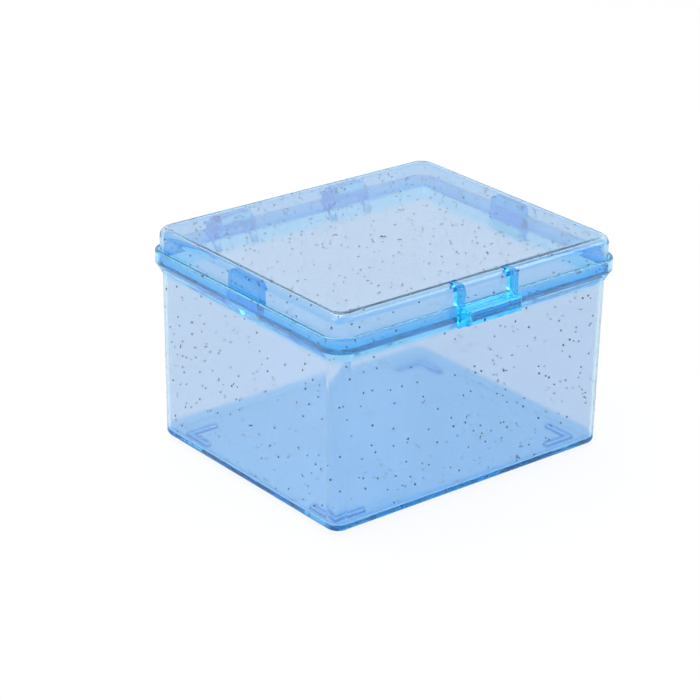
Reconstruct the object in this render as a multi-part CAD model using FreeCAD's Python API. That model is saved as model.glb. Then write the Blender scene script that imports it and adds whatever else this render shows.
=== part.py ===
import FreeCAD, Part
import math
import os

from FreeCAD import Vector

# Small hinged storage box moulded in clear tinted plastic: an open tub, a plug-in lid that turns
# along the back edge and a U-shaped latch that turns on the front edge of the lid.
# Millimetres, +Z up, front towards -Y, origin under the middle of the box, on the ground.

# Overall sizes: across the rim band, and from the ground to the top of the closed lid
box_width = 95.0
box_depth = 80.0
box_height = 60.0

# Tub shell
wall_thickness = 1.2
floor_thickness = 1.5
wall_lean = 0.5
tub_corner_radius = 4.2
floor_edge_radius = 1.6
floor_inner_radius = 0.9

# Rim band: the walls step out along a bevel, then stand upright round the lid's skirt
band_step = 2.0
band_thickness = 1.0
band_height = 3.4
bevel_height = 3.4
band_edge_radius = 0.6
band_lead_in = 0.2
shelf_width = 1.1

# Corner feet, L-shaped in plan
foot_height = 0.8
foot_width = 1.5
foot_leg = 9.5
foot_inset_x = 4.5
foot_inset_y = 5.9

# Lid guides that stand up inside the lid's skirt on the short sides
guide_width = 12.8
guide_thickness = 2.2
guide_corner_radius = 1.8
guide_drop = 1.0
guide_headroom = 0.7

# Lid shell
lid_thickness = 1.2
lid_rise = 5.8
lid_shoulder_radius = 2.3
lid_lead_in = 0.4
gate_radius = 0.9
gate_depth = 0.2
gate_shift_x = -3.2
gate_shift_y = -3.4

# Clearances
skirt_gap = 0.3
guide_gap = 0.3
seat_gap = 0.1
running_clearance = 0.05
side_gap = 0.25
swing_gap = 0.3
slot_gap = 0.4

# Back hinges: moulded trunnions on the lid's arms snap into ears on the tub
hinge_spacing = 39.0
hinge_width = 14.0
ear_width = 2.0
knuckle_radius = 1.95
trunnion_radius = 0.95
trunnion_recess = 0.3
hinge_drop = 1.2
hinge_arm_thickness = 2.0
hinge_arm_bend = 1.5
ear_mouth_share = 0.82

# Front latch
latch_width = 19.4
latch_arm_width = 1.9
latch_proud = 1.1
latch_pin_radius = 0.55
latch_pin_root = 1.0
latch_pin_angle = 40.0
latch_head_recess = 0.1
latch_neck_drop = 0.9
latch_top_radius = 1.6
latch_top_share = 0.97
latch_mouth_share = 0.8
lip_inset = 0.7
lip_reach = 4.2
lip_height = 4.4
lip_top_radius = 0.9
lip_bottom_radius = 1.1
lip_side_radius = 1.3
lip_scoop_depth = 0.8
hook_depth = 1.0
hook_bite = 0.6
hook_tip_share = 0.5

# One overrun serves every cut
overrun = 1.0

# Two heights this close are one
same = 1e-6

# Levels, from the ground up
floor_top = foot_height + floor_thickness
band_top = box_height - lid_rise
band_bottom = band_top - band_height
bevel_bottom = band_bottom - bevel_height
shelf_level = band_bottom
skirt_bottom = shelf_level + seat_gap
lid_under = box_height - lid_thickness

# Half sizes in plan
band_half_x = box_width / 2
band_half_y = box_depth / 2
band_radius = tub_corner_radius + band_step
wall_half_x = band_half_x - band_step
wall_half_y = band_half_y - band_step
lid_inset = band_thickness + skirt_gap
lid_half_x = band_half_x - lid_inset
lid_half_y = band_half_y - lid_inset
shelf_inset = band_thickness + shelf_width
corner_x = band_half_x - band_radius
corner_y = band_half_y - band_radius

# Hinge axis behind the band, below its top edge
hinge_y = band_half_y + swing_gap + knuckle_radius
hinge_z = band_top - hinge_drop
hinge_centres = (-hinge_spacing / 2, hinge_spacing / 2)
knuckle_half = hinge_width / 2 - ear_width - side_gap

# Latch pivot inside the wall of the lid's rounded shoulder
shoulder_middle = lid_shoulder_radius - lid_thickness / 2
pin_out = shoulder_middle * math.cos(math.radians(latch_pin_angle))
pin_up = shoulder_middle * math.sin(math.radians(latch_pin_angle))
pivot_y = -(lid_half_y - lid_shoulder_radius + pin_out)
pivot_z = box_height - lid_shoulder_radius + pin_up
latch_head_radius = box_height - latch_head_recess - pivot_z
arm_centres = (-(latch_width - latch_arm_width) / 2, (latch_width - latch_arm_width) / 2)
slot_width = latch_arm_width + 2 * side_gap
latch_back = -(band_half_y + swing_gap)
latch_front = -(band_half_y + latch_proud)
lip_front = -(band_half_y + lip_reach)
lip_top = band_top
lip_bottom = lip_top - lip_height
hook_bottom = lip_bottom - hook_depth


def lean_at(level):
    """How far the wall has leaned out at this height, from nothing at the base."""
    return wall_lean * (level - foot_height) / (bevel_bottom - foot_height)


def on_circle(centre, radius, degrees):
    """Point of a circle in a flat outline."""
    angle = math.radians(degrees)
    return (centre[0] + radius * math.cos(angle), centre[1] + radius * math.sin(angle))


def outline_face(outline, place):
    """Flat face inside an outline, put in space by place.

    Each step is a point, or a pair of points where an arc passes the first and ends at the second.
    """
    start = place(*outline[0])
    here = start
    edges = []
    for step in outline[1:]:
        if isinstance(step[0], tuple):
            there = place(*step[1])
            edges.append(Part.Arc(here, place(*step[0]), there).toShape())
        else:
            there = place(*step)
            edges.append(Part.LineSegment(here, there).toShape())
        here = there
    if here.distanceToPoint(start) > same:
        edges.append(Part.LineSegment(here, start).toShape())
    return Part.Face(Part.Wire(edges))


def along_x(outline, x_low, x_high):
    """Solid of a side outline of (y, z) points between two widths."""
    return outline_face(outline, lambda y, z: Vector(x_low, y, z)).extrude(Vector(x_high - x_low, 0, 0))


def along_y(outline, y_low, y_high):
    """Solid of a front outline of (x, z) points between two depths."""
    return outline_face(outline, lambda x, z: Vector(x, y_low, z)).extrude(Vector(0, y_high - y_low, 0))


def along_z(outline, z_low, z_high):
    """Solid of a plan outline of (x, y) points between two heights."""
    return outline_face(outline, lambda x, y: Vector(x, y, z_low)).extrude(Vector(0, 0, z_high - z_low))


def rod(centre, radius, x_low, x_high):
    """Round bar along X about a (y, z) centre."""
    return Part.makeCylinder(radius, x_high - x_low, Vector(x_low, *centre), Vector(1, 0, 0))


def from_corner(inset):
    """Distance from the centre line of a corner to a wall drawn in by inset from the band."""
    return band_radius - inset


def carry_round(section):
    """Solid of a wall section of (distance, z) points carried round the box.

    Distances count from the centres of the rounded corners. The section starts and ends there.
    """
    up = Vector(0, 0, 1)
    low = section[0][1]
    high = section[-1][1]
    middle = Part.makeBox(2 * corner_x, 2 * corner_y, high - low, Vector(-corner_x, -corner_y, low))
    pieces = []
    for turn, (sign_x, sign_y) in enumerate(((1, 1), (-1, 1), (-1, -1), (1, -1))):
        outward = Vector(*on_circle((0, 0), 1, 90 * turn), 0)
        centre = Vector(sign_x * corner_x, sign_y * corner_y, 0)
        face = outline_face(section, lambda out, z: centre + outward * out + up * z)
        run = 2 * (corner_x if turn % 2 else corner_y)
        pieces.append(face.extrude(outward.cross(up) * run))
        pieces.append(face.revolve(centre, up, 90))
    return middle.multiFuse(pieces).removeSplitter()


def tub_shell():
    """Floor, leaning walls and flared rim band."""
    band = from_corner(0)
    base = from_corner(band_step + wall_lean)
    inner_wall = band_step + wall_thickness
    inner_base = from_corner(inner_wall + wall_lean - lean_at(floor_top))
    shelf_drop = inner_wall - shelf_inset
    heel = (base - floor_edge_radius, foot_height + floor_edge_radius)
    brim = (band - band_edge_radius, band_top - band_edge_radius)
    inner_heel = (inner_base - floor_inner_radius, floor_top + floor_inner_radius)
    return carry_round([
        (0, foot_height), on_circle(heel, floor_edge_radius, 270),
        (on_circle(heel, floor_edge_radius, 315), on_circle(heel, floor_edge_radius, 360)),
        (from_corner(band_step), bevel_bottom), (band, band_bottom),
        on_circle(brim, band_edge_radius, 0),
        (on_circle(brim, band_edge_radius, 45), on_circle(brim, band_edge_radius, 90)),
        (from_corner(band_thickness - band_lead_in), band_top),
        (from_corner(band_thickness), band_top - band_lead_in),
        (from_corner(band_thickness), shelf_level), (from_corner(shelf_inset), shelf_level),
        (from_corner(inner_wall), shelf_level - shelf_drop),
        on_circle(inner_heel, floor_inner_radius, 360),
        (on_circle(inner_heel, floor_inner_radius, 315), on_circle(inner_heel, floor_inner_radius, 270)),
        (0, floor_top),
    ])


def corner_feet():
    """L-shaped feet under the four corners of the floor, sunk into it to join."""
    far_x = wall_half_x - wall_lean - foot_inset_x
    far_y = wall_half_y - wall_lean - foot_inset_y
    feet = []
    for sign_x in (-1, 1):
        for sign_y in (-1, 1):
            corners = (
                (far_x, far_y), (far_x - foot_leg, far_y), (far_x - foot_leg, far_y - foot_width),
                (far_x - foot_width, far_y - foot_width), (far_x - foot_width, far_y - foot_leg),
                (far_x, far_y - foot_leg),
            )
            outline = [(sign_x * x, sign_y * y) for x, y in corners]
            feet.append(along_z(outline, 0, foot_height + floor_thickness / 2))
    return feet


def lid_guides():
    """Upright tongues on the short sides that the lid's skirt slides over."""
    outer_x = lid_half_x - lid_thickness - guide_gap
    inner_x = outer_x - guide_thickness
    root_x = wall_half_x - wall_thickness / 2
    top = lid_under - guide_headroom
    ledge = shelf_level - guide_drop
    bottom = ledge - (root_x - inner_x)
    half = guide_width / 2
    corner = guide_corner_radius
    face = [
        (-half, bottom), (half, bottom), (half, top - corner),
        (on_circle((half - corner, top - corner), corner, 45), (half - corner, top)),
        (-half + corner, top),
        (on_circle((-half + corner, top - corner), corner, 135), (-half, top - corner)),
    ]
    guides = []
    for side in (-1, 1):
        edge = [
            (side * root_x, bottom), (side * inner_x, ledge), (side * inner_x, top),
            (side * outer_x, top), (side * outer_x, shelf_level),
            (side * (band_half_x - shelf_inset), shelf_level), (side * root_x, bevel_bottom),
        ]
        low, high = sorted((side * (inner_x - overrun), side * (band_half_x + overrun)))
        guides.append(along_y(edge, -half, half).common(along_x(face, low, high)))
    return guides


def hinge_ears():
    """Pairs of ears on the back of the band, each with a snap-in hole open to the rear."""
    axis = (hinge_y, hinge_z)
    hole = trunnion_radius + running_clearance
    mouth = trunnion_radius * ear_mouth_share
    root = band_half_y - band_thickness / 2
    outline = [
        (root, band_top - band_edge_radius), on_circle(axis, knuckle_radius, 110),
        (on_circle(axis, knuckle_radius, 25), on_circle(axis, knuckle_radius, -60)),
        (wall_half_y, bevel_bottom), (wall_half_y - wall_thickness / 2, bevel_bottom),
        (root, band_bottom),
    ]
    way_in = [
        (hinge_y, hinge_z - mouth), (hinge_y + knuckle_radius + overrun, hinge_z - mouth),
        (hinge_y + knuckle_radius + overrun, hinge_z + mouth), (hinge_y, hinge_z + mouth),
    ]
    ears = []
    for centre in hinge_centres:
        for x_low in (centre - hinge_width / 2, centre + hinge_width / 2 - ear_width):
            x_high = x_low + ear_width
            ear = along_x(outline, x_low, x_high)
            ear = ear.cut(rod(axis, hole, x_low, x_high))
            ears.append(ear.cut(along_x(way_in, x_low, x_high)))
    return ears


def storage_tub():
    return tub_shell().multiFuse(corner_feet() + lid_guides() + hinge_ears()).removeSplitter()


def lid_shell():
    """Plug-in lid with a rounded shoulder and the moulding gate's dimple on top."""
    outer = from_corner(lid_inset)
    inner = from_corner(lid_inset + lid_thickness)
    inner_radius = lid_shoulder_radius - lid_thickness
    shoulder = (outer - lid_shoulder_radius, box_height - lid_shoulder_radius)
    shell = carry_round([
        (0, lid_under), on_circle(shoulder, inner_radius, 90),
        (on_circle(shoulder, inner_radius, 45), on_circle(shoulder, inner_radius, 0)),
        (inner, skirt_bottom), (outer - lid_lead_in, skirt_bottom), (outer, skirt_bottom + lid_lead_in),
        on_circle(shoulder, lid_shoulder_radius, 0),
        (on_circle(shoulder, lid_shoulder_radius, 45), on_circle(shoulder, lid_shoulder_radius, 90)),
        (0, box_height),
    ])
    ball_radius = (gate_radius ** 2 + gate_depth ** 2) / (2 * gate_depth)
    ball_centre = Vector(gate_shift_x, gate_shift_y, box_height - gate_depth + ball_radius)
    return shell.cut(Part.makeSphere(ball_radius, ball_centre))


def latch_slot(centre):
    """Room in the front edge of the lid for one latch arm to turn."""
    x_low = centre - slot_width / 2
    x_high = centre + slot_width / 2
    low = pivot_z - latch_neck_drop - swing_gap
    front = -lid_half_y - overrun
    neck = along_x([(front, low), (pivot_y, low), (pivot_y, pivot_z), (front, pivot_z)], x_low, x_high)
    return rod((pivot_y, pivot_z), latch_head_radius + slot_gap, x_low, x_high).fuse(neck)


def latch_pin(centre):
    """Bar across a slot that one latch arm turns on, rooted in the shoulder at both ends."""
    half = slot_width / 2 + latch_pin_root
    return rod((pivot_y, pivot_z), latch_pin_radius, centre - half, centre + half)


def hinge_arm(centre):
    """Arm that reaches back over the band to a knuckle with a trunnion on each side."""
    axis = (hinge_y, hinge_z)
    root = lid_half_y - lid_thickness / 2
    low = band_top + swing_gap
    top = low + hinge_arm_thickness
    back = hinge_y + knuckle_radius
    bend = (back - hinge_arm_bend, top - hinge_arm_bend)
    meet = 180 - math.degrees(math.asin((low - hinge_z) / knuckle_radius))
    outline = [
        (root, low), on_circle(axis, knuckle_radius, meet),
        (on_circle(axis, knuckle_radius, 200), on_circle(axis, knuckle_radius, 270)),
        (on_circle(axis, knuckle_radius, 315), on_circle(axis, knuckle_radius, 360)),
        on_circle(bend, hinge_arm_bend, 0),
        (on_circle(bend, hinge_arm_bend, 45), on_circle(bend, hinge_arm_bend, 90)),
        (root, top),
    ]
    reach = hinge_width / 2 - trunnion_recess
    arm = along_x(outline, centre - knuckle_half, centre + knuckle_half)
    return arm.fuse(rod(axis, trunnion_radius, centre - reach, centre + reach))


def hinged_lid():
    lid = lid_shell()
    for centre in arm_centres:
        lid = lid.cut(latch_slot(centre))
    pins = [latch_pin(centre) for centre in arm_centres]
    arms = [hinge_arm(centre) for centre in hinge_centres]
    return lid.multiFuse(pins + arms).removeSplitter()


def latch_arm(centre):
    """Side arm of the latch, from its snap eye in the lid down in front of the band."""
    axis = (pivot_y, pivot_z)
    head = latch_head_radius
    top_angle = math.degrees(math.asin(latch_top_share))
    neck_angle = math.degrees(math.asin(latch_neck_drop / head))
    top = pivot_z + head * latch_top_share
    bend = (latch_front + latch_top_radius, top - latch_top_radius)
    beside_lid = -(lid_half_y + swing_gap)
    over_band = band_top + swing_gap
    outline = [
        on_circle(axis, head, 180 - top_angle), on_circle(bend, latch_top_radius, 90),
        (on_circle(bend, latch_top_radius, 135), on_circle(bend, latch_top_radius, 180)),
        (latch_front, hook_bottom), (latch_back, hook_bottom), (latch_back, over_band),
        (beside_lid, over_band), (beside_lid, pivot_z - latch_neck_drop),
        on_circle(axis, head, 180 + neck_angle),
        (on_circle(axis, head, 270), on_circle(axis, head, 0)),
        (on_circle(axis, head, (180 - top_angle) / 2), on_circle(axis, head, 180 - top_angle)),
    ]
    mouth = latch_pin_radius * latch_mouth_share
    back = pivot_y + head + overrun
    way_in = [
        (pivot_y, pivot_z - mouth), (back, pivot_z - mouth),
        (back, pivot_z + mouth), (pivot_y, pivot_z + mouth),
    ]
    x_low = centre - latch_arm_width / 2
    x_high = centre + latch_arm_width / 2
    eye = rod(axis, latch_pin_radius + running_clearance, x_low, x_high)
    arm = along_x(outline, x_low, x_high)
    return arm.cut(eye).cut(along_x(way_in, x_low, x_high))


def latch_lip():
    """Finger lip across both arms, scooped below, with a hook that reaches under the band."""
    half = latch_width / 2 - lip_inset
    top_bend = (lip_front + lip_top_radius, lip_top - lip_top_radius)
    low_bend = (lip_front + lip_bottom_radius, lip_bottom + lip_bottom_radius)
    scoop_middle = (low_bend[0] + latch_front) / 2
    hook_tip = lip_bottom - hook_depth * hook_tip_share
    outline = [
        (latch_back, lip_top), on_circle(top_bend, lip_top_radius, 90),
        (on_circle(top_bend, lip_top_radius, 135), on_circle(top_bend, lip_top_radius, 180)),
        on_circle(low_bend, lip_bottom_radius, 180),
        (on_circle(low_bend, lip_bottom_radius, 225), on_circle(low_bend, lip_bottom_radius, 270)),
        ((scoop_middle, lip_bottom + lip_scoop_depth), (latch_front, lip_bottom)),
        (latch_front, hook_bottom), (latch_back, hook_bottom), (hook_bite - band_half_y, hook_tip),
        (latch_back, lip_bottom),
    ]
    corner = lip_side_radius
    back = hook_bite - band_half_y + overrun
    plan = [
        (half, back), (-half, back), (-half, lip_front + corner),
        (on_circle((-half + corner, lip_front + corner), corner, 225), (-half + corner, lip_front)),
        (half - corner, lip_front),
        (on_circle((half - corner, lip_front + corner), corner, 315), (half, lip_front + corner)),
    ]
    return along_x(outline, -half, half).common(along_z(plan, hook_bottom - overrun, lip_top + overrun))


def front_latch():
    return latch_lip().multiFuse([latch_arm(centre) for centre in arm_centres]).removeSplitter()


os.makedirs("parts", exist_ok=True)
for name, make in (
    ("storage_tub", storage_tub),
    ("hinged_lid", hinged_lid),
    ("front_latch", front_latch),
):
    make().exportStep("parts/" + name + ".step")
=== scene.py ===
import math
import random

import bpy
from mathutils import Euler, Matrix, Vector
from mathutils.bvhtree import BVHTree


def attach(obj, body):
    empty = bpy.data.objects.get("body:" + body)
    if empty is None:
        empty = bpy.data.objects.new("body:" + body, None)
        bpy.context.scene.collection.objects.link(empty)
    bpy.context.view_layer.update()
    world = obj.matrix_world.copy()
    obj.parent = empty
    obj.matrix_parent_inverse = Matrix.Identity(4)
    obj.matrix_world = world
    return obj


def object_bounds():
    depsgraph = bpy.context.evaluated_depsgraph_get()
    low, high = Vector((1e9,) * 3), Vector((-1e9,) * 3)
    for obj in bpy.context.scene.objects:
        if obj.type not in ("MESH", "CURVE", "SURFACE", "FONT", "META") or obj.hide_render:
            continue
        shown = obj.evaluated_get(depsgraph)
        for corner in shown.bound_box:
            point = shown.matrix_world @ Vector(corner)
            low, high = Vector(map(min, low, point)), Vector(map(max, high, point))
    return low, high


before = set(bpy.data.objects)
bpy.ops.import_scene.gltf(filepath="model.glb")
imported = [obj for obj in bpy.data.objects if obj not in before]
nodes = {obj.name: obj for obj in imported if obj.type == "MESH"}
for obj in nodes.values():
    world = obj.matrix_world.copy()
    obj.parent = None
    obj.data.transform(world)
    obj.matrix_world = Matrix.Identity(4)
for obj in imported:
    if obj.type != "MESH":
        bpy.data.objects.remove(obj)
cad_low, cad_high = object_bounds()
scene = bpy.context.scene

# Tinted clear plastic: light lost per metre in red, green and blue
SHELL_LOSS = (80.0, 8.0, 1.0)
LATCH_LOSS = (95.0, 8.0, 1.0)
DEEPEST_LOSS = 120.0
PLASTIC_IOR = 1.49
CLEARNESS = 0.97

# Colour let through where the plastic is thin, and where it is thicker; the floor plate's colour
# is partly its thickness and partly painted shade, the box's blue shadow on the paper beneath
PALE = (0.775, 0.80, 0.915)
DEEP = (0.48, 0.78, 0.985)
FLOOR_PLATE_AND_SHADOW_TINT = (0.39, 0.64, 0.91)
FOOT_TINT = (0.10, 0.43, 0.91)
GUIDE_TINT = (0.17, 0.67, 1.0)
HINGE_TINT = (0.36, 0.72, 1.0)
TOP_TINT = (0.74, 0.775, 0.905)
FILLET_TINT = (0.34, 0.65, 0.97)
SKIRT_TINT = (0.56, 0.725, 0.935)
SKIRT_END_TINT = (0.18, 0.66, 1.0)
LATCH_TINT = (0.16, 0.745, 1.0)
LATCH_ARM_TINT = (0.12, 0.71, 1.0)

# Heights with their colours, blended from one to the next
# The tub's lowest heights hold the floor plate colour with its painted shade
TUB_TINTS = (
    (0.0, FLOOR_PLATE_AND_SHADOW_TINT), (0.0030, FLOOR_PLATE_AND_SHADOW_TINT), (0.0045, PALE), (0.0462, PALE), (0.0480, DEEP),
)
LID_TINTS = ((0.0, SKIRT_TINT),)
LATCH_TINTS = ((0.0, LATCH_TINT), (0.0530, LATCH_TINT), (0.0560, LATCH_ARM_TINT))

# Boxes with a colour of their own, mirrored left to right and front to back; later ones win
HINGE_PATCH = ((0.0, 0.0402, 0.0450), (0.0400, 0.0480, 0.0590), HINGE_TINT)
TUB_PATCHES = (
    ((0.0420, 0.0, 0.0470), (0.0450, 0.0066, 0.0590), GUIDE_TINT),
    ((0.0310, 0.0300, -0.0010), (0.0406, 0.0317, 0.0040), FOOT_TINT),
    ((0.0389, 0.0221, -0.0010), (0.0406, 0.0317, 0.0040), FOOT_TINT),
    HINGE_PATCH,
)
LID_PATCHES = (
    ((0.0, 0.0, 0.0574), (0.0452, 0.0380, 0.0602), FILLET_TINT),
    ((0.0, 0.0, 0.0574), (0.0437, 0.0365, 0.0602), TOP_TINT),
    ((0.0, 0.0, 0.0590), (0.0480, 0.0400, 0.0602), TOP_TINT),
    ((0.0, 0.0, 0.0490), (0.0470, 0.0400, 0.0522), SKIRT_END_TINT),
    HINGE_PATCH,
)

# Flow of the plastic: how far it shifts the heights, and the haze it leaves on the surface
FLOW_SCALE = 38.0
FLOW_DETAIL = 3.0
FLOW_RANGE = (0.3, 0.7)
FLOW_SHIFT = 0.012
HAZE_ROUGHNESS = (0.04, 0.09)

# Glitter moulded into the plastic: flakes per square metre of wall, their sizes and their foil
TUB_FLAKES = 36000
LID_FLAKES = 56000
FLAKE_RADIUS = (0.00024, 0.00039)
FLAKE_COVER = 0.00006
DEEPEST_FLAKE = 0.0012
FLAKE_FACES = (
    (0, 2, 4), (2, 1, 4), (1, 3, 4), (3, 0, 4), (2, 0, 5), (1, 2, 5), (3, 1, 5), (0, 3, 5),
)
UNDER_SURFACE = 1e-5
FOIL_COLOURS = (
    (0.0, (0.02, 0.022, 0.03)),
    (0.4, (0.03, 0.026, 0.03)),
    (0.65, (0.03, 0.04, 0.08)),
    (0.85, (0.07, 0.05, 0.05)),
    (0.95, (0.3, 0.32, 0.38)),
)
FOIL_METALLIC = 0.7
FOIL_ROUGHNESS = 0.35

# Seeds of the first piece; each later piece adds one
FLOW_SEED = 1
GLITTER_SEED = 11

# Studio: floor, world and soft lamps, each lamp with its place, size and power
FLOOR_HALF = 6
FLOOR_GLOW = 0.85
PAPER = (0.9, 0.9, 0.9, 1.0)
WHITE = (1.0, 1.0, 1.0, 1.0)
WORLD_LIGHT = 0.6
LAMP_TARGET = Vector((0.0, 0.0, 0.03))
LAMPS = (
    ("overhead", (0.0, 0.25, 0.9), (0.8, 0.6), 4.6),
    ("left", (-0.8, -0.2, 0.5), (0.5, 0.5), 2.2),
    ("right", (0.7, -0.6, 0.5), (0.4, 0.4), 1.5),
)
LIGHT_BOUNCES = 300

# Camera at the photograph's viewing angle
AZIMUTH, ELEVATION, ROLL = math.radians(-39.043), math.radians(23.534), math.radians(-0.906)
DISTANCE = 0.657825
AIM_RIGHT, AIM_UP = 0.008395, 0.003610
SENSOR_WIDTH, LENS = 36.0, 128.292
NEAR_CLIP, FAR_CLIP = 0.01, 50.0


def new_material(name):
    material = bpy.data.materials.new(name)
    material.use_nodes = True
    tree = material.node_tree
    tree.nodes.clear()
    output = tree.nodes.new("ShaderNodeOutputMaterial")
    return material, tree, output


def new_maths(tree, kind, operation, *values):
    """The result of a math node fed, in order, with sockets or plain values."""
    node = tree.nodes.new(kind)
    node.operation = operation
    for socket, value in zip(node.inputs, values):
        if isinstance(value, bpy.types.NodeSocket):
            tree.links.new(value, socket)
        else:
            socket.default_value = value
    return node.outputs[0]


def maths(tree, operation, *values):
    return new_maths(tree, "ShaderNodeMath", operation, *values)


def vector_maths(tree, operation, *values):
    return new_maths(tree, "ShaderNodeVectorMath", operation, *values)


def split_vector(tree, vector):
    split = tree.nodes.new("ShaderNodeSeparateXYZ")
    tree.links.new(vector, split.inputs["Vector"])
    return split.outputs["X"], split.outputs["Y"], split.outputs["Z"]


def mix_shaders(tree, share, first, second, output):
    """One shader where the share is nought and the other where it is one, sent to the output."""
    mix = tree.nodes.new("ShaderNodeMixShader")
    for value, socket in zip((share, first, second), mix.inputs):
        tree.links.new(value, socket)
    tree.links.new(mix.outputs["Shader"], output.inputs["Surface"])


def set_ramp(ramp, stops):
    elements = ramp.color_ramp.elements
    while len(elements) > 1:
        elements.remove(elements[-1])
    for index, (place, colour) in enumerate(stops):
        element = elements[0] if index == 0 else elements.new(place)
        element.position = place
        element.color = (*colour, 1.0)


def patch_mask(tree, place, low, high):
    """One inside a box and nothing outside it, the same in all four quarters of the plan."""
    middle = (Vector(low) + Vector(high)) / 2
    mirrored = vector_maths(tree, "ABSOLUTE", place)
    reach = vector_maths(tree, "ABSOLUTE", vector_maths(tree, "SUBTRACT", mirrored, middle))
    x, y, z = split_vector(tree, vector_maths(tree, "DIVIDE", reach, Vector(high) - middle))
    widest = maths(tree, "MAXIMUM", maths(tree, "MAXIMUM", x, y), z)
    return maths(tree, "LESS_THAN", widest, 1.0)


def clear_plastic(name, seed, lost, tints, patches):
    """Clear tinted plastic: pale in a thin wall, deep blue where light runs a long way inside it.

    Tints are pairs of a height and the colour let through there, patches boxes with their own.
    """
    material, tree, output = new_material(name)
    place = tree.nodes.new("ShaderNodeTexCoord").outputs["Object"]
    shift = tree.nodes.new("ShaderNodeMapping")
    shift.inputs["Location"].default_value = (seed, seed * 2.0, seed * 3.0)
    tree.links.new(place, shift.inputs["Vector"])
    flow = tree.nodes.new("ShaderNodeTexNoise")
    flow.inputs["Scale"].default_value = FLOW_SCALE
    flow.inputs["Detail"].default_value = FLOW_DETAIL
    tree.links.new(shift.outputs["Vector"], flow.inputs["Vector"])

    swirl = maths(tree, "MULTIPLY_ADD", flow.outputs["Fac"], FLOW_SHIFT, -FLOW_SHIFT / 2)
    level = split_vector(tree, place)[2]
    height = maths(tree, "MULTIPLY_ADD", level, 1.0 / cad_high[2], swirl)
    tint = tree.nodes.new("ShaderNodeValToRGB")
    set_ramp(tint, [(start / cad_high[2], colour) for start, colour in tints])
    tree.links.new(height, tint.inputs["Fac"])
    colour = tint.outputs["Color"]
    for low, high, own in patches:
        mix = tree.nodes.new("ShaderNodeMixRGB")
        mix.inputs["Color2"].default_value = (*own, 1.0)
        tree.links.new(patch_mask(tree, place, low, high), mix.inputs["Fac"])
        tree.links.new(colour, mix.inputs["Color1"])
        colour = mix.outputs["Color"]

    haze = tree.nodes.new("ShaderNodeMapRange")
    haze.inputs["From Min"].default_value, haze.inputs["From Max"].default_value = FLOW_RANGE
    haze.inputs["To Min"].default_value, haze.inputs["To Max"].default_value = HAZE_ROUGHNESS
    tree.links.new(flow.outputs["Fac"], haze.inputs["Value"])

    plastic = tree.nodes.new("ShaderNodeBsdfPrincipled")
    plastic.inputs["IOR"].default_value = PLASTIC_IOR
    plastic.inputs["Transmission Weight"].default_value = CLEARNESS
    tree.links.new(colour, plastic.inputs["Base Color"])
    tree.links.new(haze.outputs["Result"], plastic.inputs["Roughness"])
    tree.links.new(plastic.outputs["BSDF"], output.inputs["Surface"])

    loss = tree.nodes.new("ShaderNodeVolumeAbsorption")
    loss.inputs["Color"].default_value = (*(1.0 - part / DEEPEST_LOSS for part in lost), 1.0)
    loss.inputs["Density"].default_value = DEEPEST_LOSS
    tree.links.new(loss.outputs["Volume"], output.inputs["Volume"])
    return material


def glitter_foil():
    """Small metal-foil flakes, mostly dark, each with its own colour."""
    material, tree, output = new_material("glitter_foil")
    island = tree.nodes.new("ShaderNodeNewGeometry")
    colour = tree.nodes.new("ShaderNodeValToRGB")
    colour.color_ramp.interpolation = "CONSTANT"
    set_ramp(colour, FOIL_COLOURS)
    foil = tree.nodes.new("ShaderNodeBsdfPrincipled")
    foil.inputs["Metallic"].default_value = FOIL_METALLIC
    foil.inputs["Roughness"].default_value = FOIL_ROUGHNESS
    tree.links.new(island.outputs["Random Per Island"], colour.inputs["Fac"])
    tree.links.new(colour.outputs["Color"], foil.inputs["Base Color"])
    tree.links.new(foil.outputs["BSDF"], output.inputs["Surface"])
    return material


def floor_material():
    """White paper that keeps a share of shadow wherever it is seen or seen through the plastic."""
    material, tree, output = new_material("floor")
    rays = tree.nodes.new("ShaderNodeLightPath").outputs
    seen = maths(tree, "MULTIPLY", rays["Is Camera Ray"], FLOOR_GLOW)
    share = maths(tree, "MULTIPLY_ADD", rays["Is Transmission Ray"], FLOOR_GLOW, seen)
    paper = tree.nodes.new("ShaderNodeBsdfDiffuse")
    paper.inputs["Color"].default_value = PAPER
    glow = tree.nodes.new("ShaderNodeEmission")
    mix_shaders(tree, share, paper.outputs["BSDF"], glow.outputs["Emission"], output)
    return material


def scatter_glitter(node, name, body, material, per_area, seed):
    """Flakes sunk between the faces of a CAD node's walls, each turned its own way."""
    chance = random.Random(seed)
    mesh = nodes[node].data
    mesh.calc_loop_triangles()
    corners = [tuple(t.vertices) for t in mesh.loop_triangles]
    triangles = [tuple(mesh.vertices[i].co.copy() for i in corner) for corner in corners]
    areas = [(b - a).cross(c - a).length / 2 for a, b, c in triangles]
    walls = BVHTree.FromPolygons([v.co.copy() for v in mesh.vertices], corners)
    count = int(sum(areas) / 2 * per_area)
    points, faces = [], []
    for a, b, c in chance.choices(triangles, areas, k=count):
        u, v = chance.random(), chance.random()
        if u + v > 1:
            u, v = 1 - u, 1 - v
        normal = (b - a).cross(c - a).normalized()
        start = a + (b - a) * u + (c - a) * v
        radius = chance.uniform(*FLAKE_RADIUS)
        turned = Euler([chance.uniform(0, math.tau) for _ in range(3)]).to_matrix()
        found = walls.ray_cast(start - normal * UNDER_SURFACE, -normal)
        thickness = min(found[3] if found[0] else 0.0, DEEPEST_FLAKE)
        cover = radius + FLAKE_COVER
        if thickness < 2 * cover:
            continue
        centre = start - normal * chance.uniform(cover, thickness - cover)
        if walls.find_nearest(centre)[3] < cover:
            continue
        first = len(points)
        for axis in turned.col:
            points += [centre + axis * radius, centre - axis * radius]
        faces += [tuple(first + corner for corner in face) for face in FLAKE_FACES]
    flakes = bpy.data.meshes.new(name)
    flakes.from_pydata(points, [], faces)
    piece = bpy.data.objects.new(name, flakes)
    scene.collection.objects.link(piece)
    piece.data.materials.append(material)
    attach(piece, body)


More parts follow.
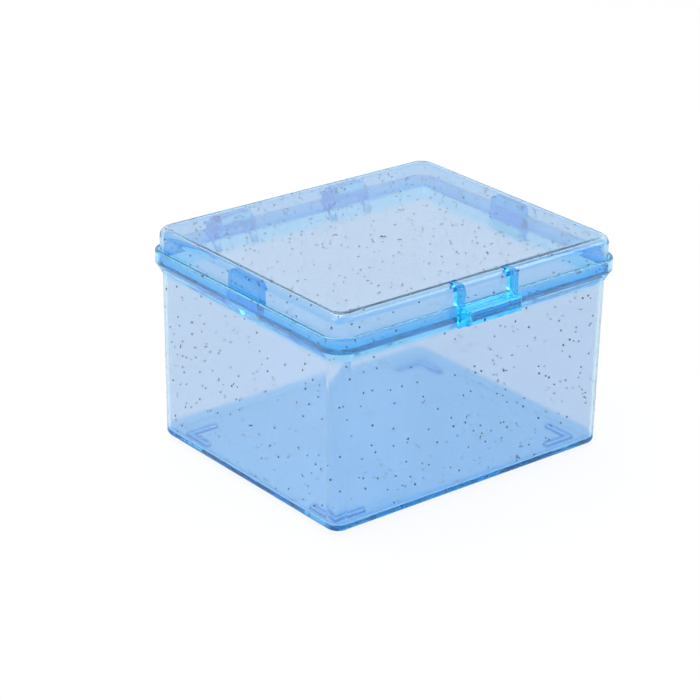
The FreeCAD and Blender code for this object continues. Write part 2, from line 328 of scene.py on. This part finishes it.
def softbox(name, place, size, power):
    lamp = bpy.data.lights.new(name, "AREA")
    lamp.shape = "RECTANGLE"
    lamp.size, lamp.size_y = size
    lamp.energy = power
    holder = bpy.data.objects.new(name, lamp)
    holder.location = place
    holder.rotation_mode = "QUATERNION"
    holder.rotation_quaternion = (LAMP_TARGET - Vector(place)).to_track_quat("-Z", "Y")
    scene.collection.objects.link(holder)


# Plastic and glitter
foil = glitter_foil()
for index, (node, body, slot, lost, tints, patches, per_area) in enumerate((
    ("storage_tub", "tub", "tub_plastic", SHELL_LOSS, TUB_TINTS, TUB_PATCHES, TUB_FLAKES),
    ("hinged_lid", "lid", "lid_plastic", SHELL_LOSS, LID_TINTS, LID_PATCHES, LID_FLAKES),
    ("front_latch", "latch", "latch_plastic", LATCH_LOSS, LATCH_TINTS, (), TUB_FLAKES),
)):
    shell = nodes[node].data
    shell.materials.clear()
    shell.materials.append(clear_plastic(slot, FLOW_SEED + index, lost, tints, patches))
    scatter_glitter(node, body + "_glitter", body, foil, per_area, GLITTER_SEED + index)

# Floor
floor_mesh = bpy.data.meshes.new("floor")
floor_corners = [
    (x * FLOOR_HALF, y * FLOOR_HALF, 0) for x, y in ((-1, -1), (1, -1), (1, 1), (-1, 1))
]
floor_mesh.from_pydata(floor_corners, [], [(0, 1, 2, 3)])
floor = bpy.data.objects.new("floor", floor_mesh)
scene.collection.objects.link(floor)
floor_mesh.materials.append(floor_material())

# World: soft light, and plain white wherever it is seen, reflected or seen through the plastic
world = bpy.data.worlds.new("studio")
scene.world = world
world.use_nodes = True
tree = world.node_tree
tree.nodes.clear()
output = tree.nodes.new("ShaderNodeOutputWorld")
rays = tree.nodes.new("ShaderNodeLightPath").outputs
through = maths(tree, "MAXIMUM", rays["Is Glossy Ray"], rays["Is Transmission Ray"])
seen = maths(tree, "MAXIMUM", rays["Is Camera Ray"], through)
light = tree.nodes.new("ShaderNodeBackground")
light.inputs["Color"].default_value = WHITE
light.inputs["Strength"].default_value = WORLD_LIGHT
backdrop = tree.nodes.new("ShaderNodeBackground")
backdrop.inputs["Color"].default_value = WHITE
mix_shaders(tree, seen, light.outputs["Background"], backdrop.outputs["Background"], output)

for lamp in LAMPS:
    softbox(*lamp)

# Camera
back = Vector((
    math.sin(AZIMUTH) * math.cos(ELEVATION),
    -math.cos(AZIMUTH) * math.cos(ELEVATION),
    math.sin(ELEVATION),
))
right = Vector((math.cos(AZIMUTH), math.sin(AZIMUTH), 0.0))
up = back.cross(right)
level_right = right * math.cos(ROLL) - up * math.sin(ROLL)
level_up = right * math.sin(ROLL) + up * math.cos(ROLL)
camera_data = bpy.data.cameras.new("camera")
camera_data.sensor_width = SENSOR_WIDTH
camera_data.lens = LENS
camera_data.clip_start = NEAR_CLIP
camera_data.clip_end = FAR_CLIP
camera = bpy.data.objects.new("camera", camera_data)
scene.collection.objects.link(camera)
turn = Matrix((level_right, level_up, back)).transposed().to_4x4()
middle = Vector((0.0, 0.0, cad_high[2] / 2))
stand = middle + back * DISTANCE - right * AIM_RIGHT - up * AIM_UP
camera.matrix_world = Matrix.Translation(stand) @ turn
scene.camera = camera

scene.view_settings.view_transform = "Standard"
scene.cycles.max_bounces = LIGHT_BOUNCES
scene.cycles.transmission_bounces = LIGHT_BOUNCES
scene.cycles.glossy_bounces = LIGHT_BOUNCES
scene.cycles.blur_glossy = 0.0
